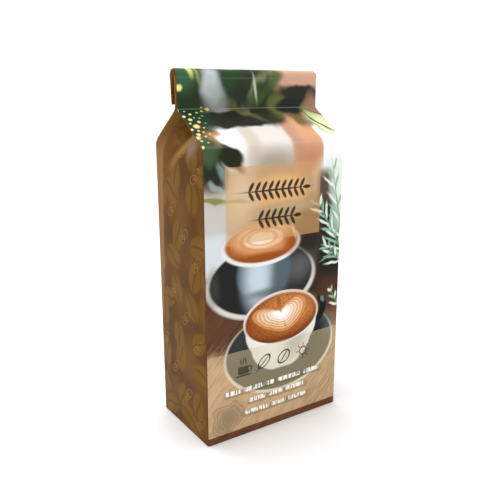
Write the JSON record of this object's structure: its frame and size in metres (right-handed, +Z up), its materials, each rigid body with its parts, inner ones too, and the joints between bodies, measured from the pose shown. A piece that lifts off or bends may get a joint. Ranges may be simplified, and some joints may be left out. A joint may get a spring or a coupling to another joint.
{
  "type": "side-gusset coffee bag",
  "caption": "Filled side-gusset film bag with block bottom, sloped shoulders, a neck folded over to the back, a reseal label and a one-way valve.",
  "frame": {"origin": "bottom centre of the bag's box, on the surface that it stands on", "axes": "+Z up, -Y out of the printed front, +X to the right as the front is read"},
  "size_m": [0.085, 0.05, 0.187],
  "materials": {
    "printed_film": "satin",
    "brown_film": "satin",
    "label_paper": "matte",
    "valve_plastic": "satin",
    "valve_rubber": "matte",
    "filter_paper": "matte",
    "roasted_beans": "satin"
  },
  "bodies": {
    "bag": {"front_panel": "printed_film", "front_shoulder": "printed_film", "back_panel_left": "brown_film", "back_panel_right": "brown_film", "back_fin_seal": "brown_film", "back_shoulder": "brown_film", "shoulder_fin_seal": "brown_film", "left_side_panel": "brown_film", "right_side_panel": "brown_film", "left_gusset_fold": "brown_film", "right_gusset_fold": "brown_film", "neck_crease": "printed_film", "bottom_front_flap": "brown_film", "bottom_back_flap": "brown_film", "bottom_left_tuck": "brown_film", "bottom_right_tuck": "brown_film", "valve_housing": "valve_plastic", "valve_retainer": "valve_plastic", "valve_filter": "filter_paper", "coffee_beans": "roasted_beans"},
    "neck": {"neck_front_ply": "printed_film", "neck_back_ply": "brown_film", "neck_fin_seal": "brown_film", "left_neck_gusset": "brown_film", "right_neck_gusset": "brown_film", "top_fold_outer": "printed_film", "top_fold_inner": "brown_film", "top_fold_gussets": "brown_film"},
    "flap": {"flap_outer_ply": "printed_film", "flap_inner_ply": "brown_film", "flap_gussets": "brown_film", "top_seal": "brown_film", "label_upper": "label_paper"},
    "label_tab": {"label_tab": "label_paper"},
    "valve_disc": {"valve_disc": "valve_rubber"}
  },
  "joints": [
    {"name": "neck_tilt", "type": "hinge", "parent": "bag", "child": "neck", "pos_m": [0, 0.00022, 0.168], "axis": [1, 0, 0], "range_deg": [0, 45], "stiffness_Nm_per_rad": 0.02, "deforming": ["neck_crease"]},
    {"name": "flap_unfold", "type": "hinge", "parent": "neck", "child": "flap", "pos_m": [0, 0.00227, 0.18353], "axis": [1, 0, 0], "range_deg": [0, 170], "deforming": ["top_fold_outer", "top_fold_inner", "top_fold_gussets"]},
    {"name": "label_peel", "type": "hinge", "parent": "flap", "child": "label_tab", "pos_m": [0, 0.00458, 0.17003], "axis": [1, 0, 0], "range_deg": [0, 100]},
    {"name": "valve_lift", "type": "slide", "parent": "bag", "child": "valve_disc", "axis": [0, 1, 0], "range_m": [0, 0.0004], "stiffness_N_per_m": 100}
  ]
}
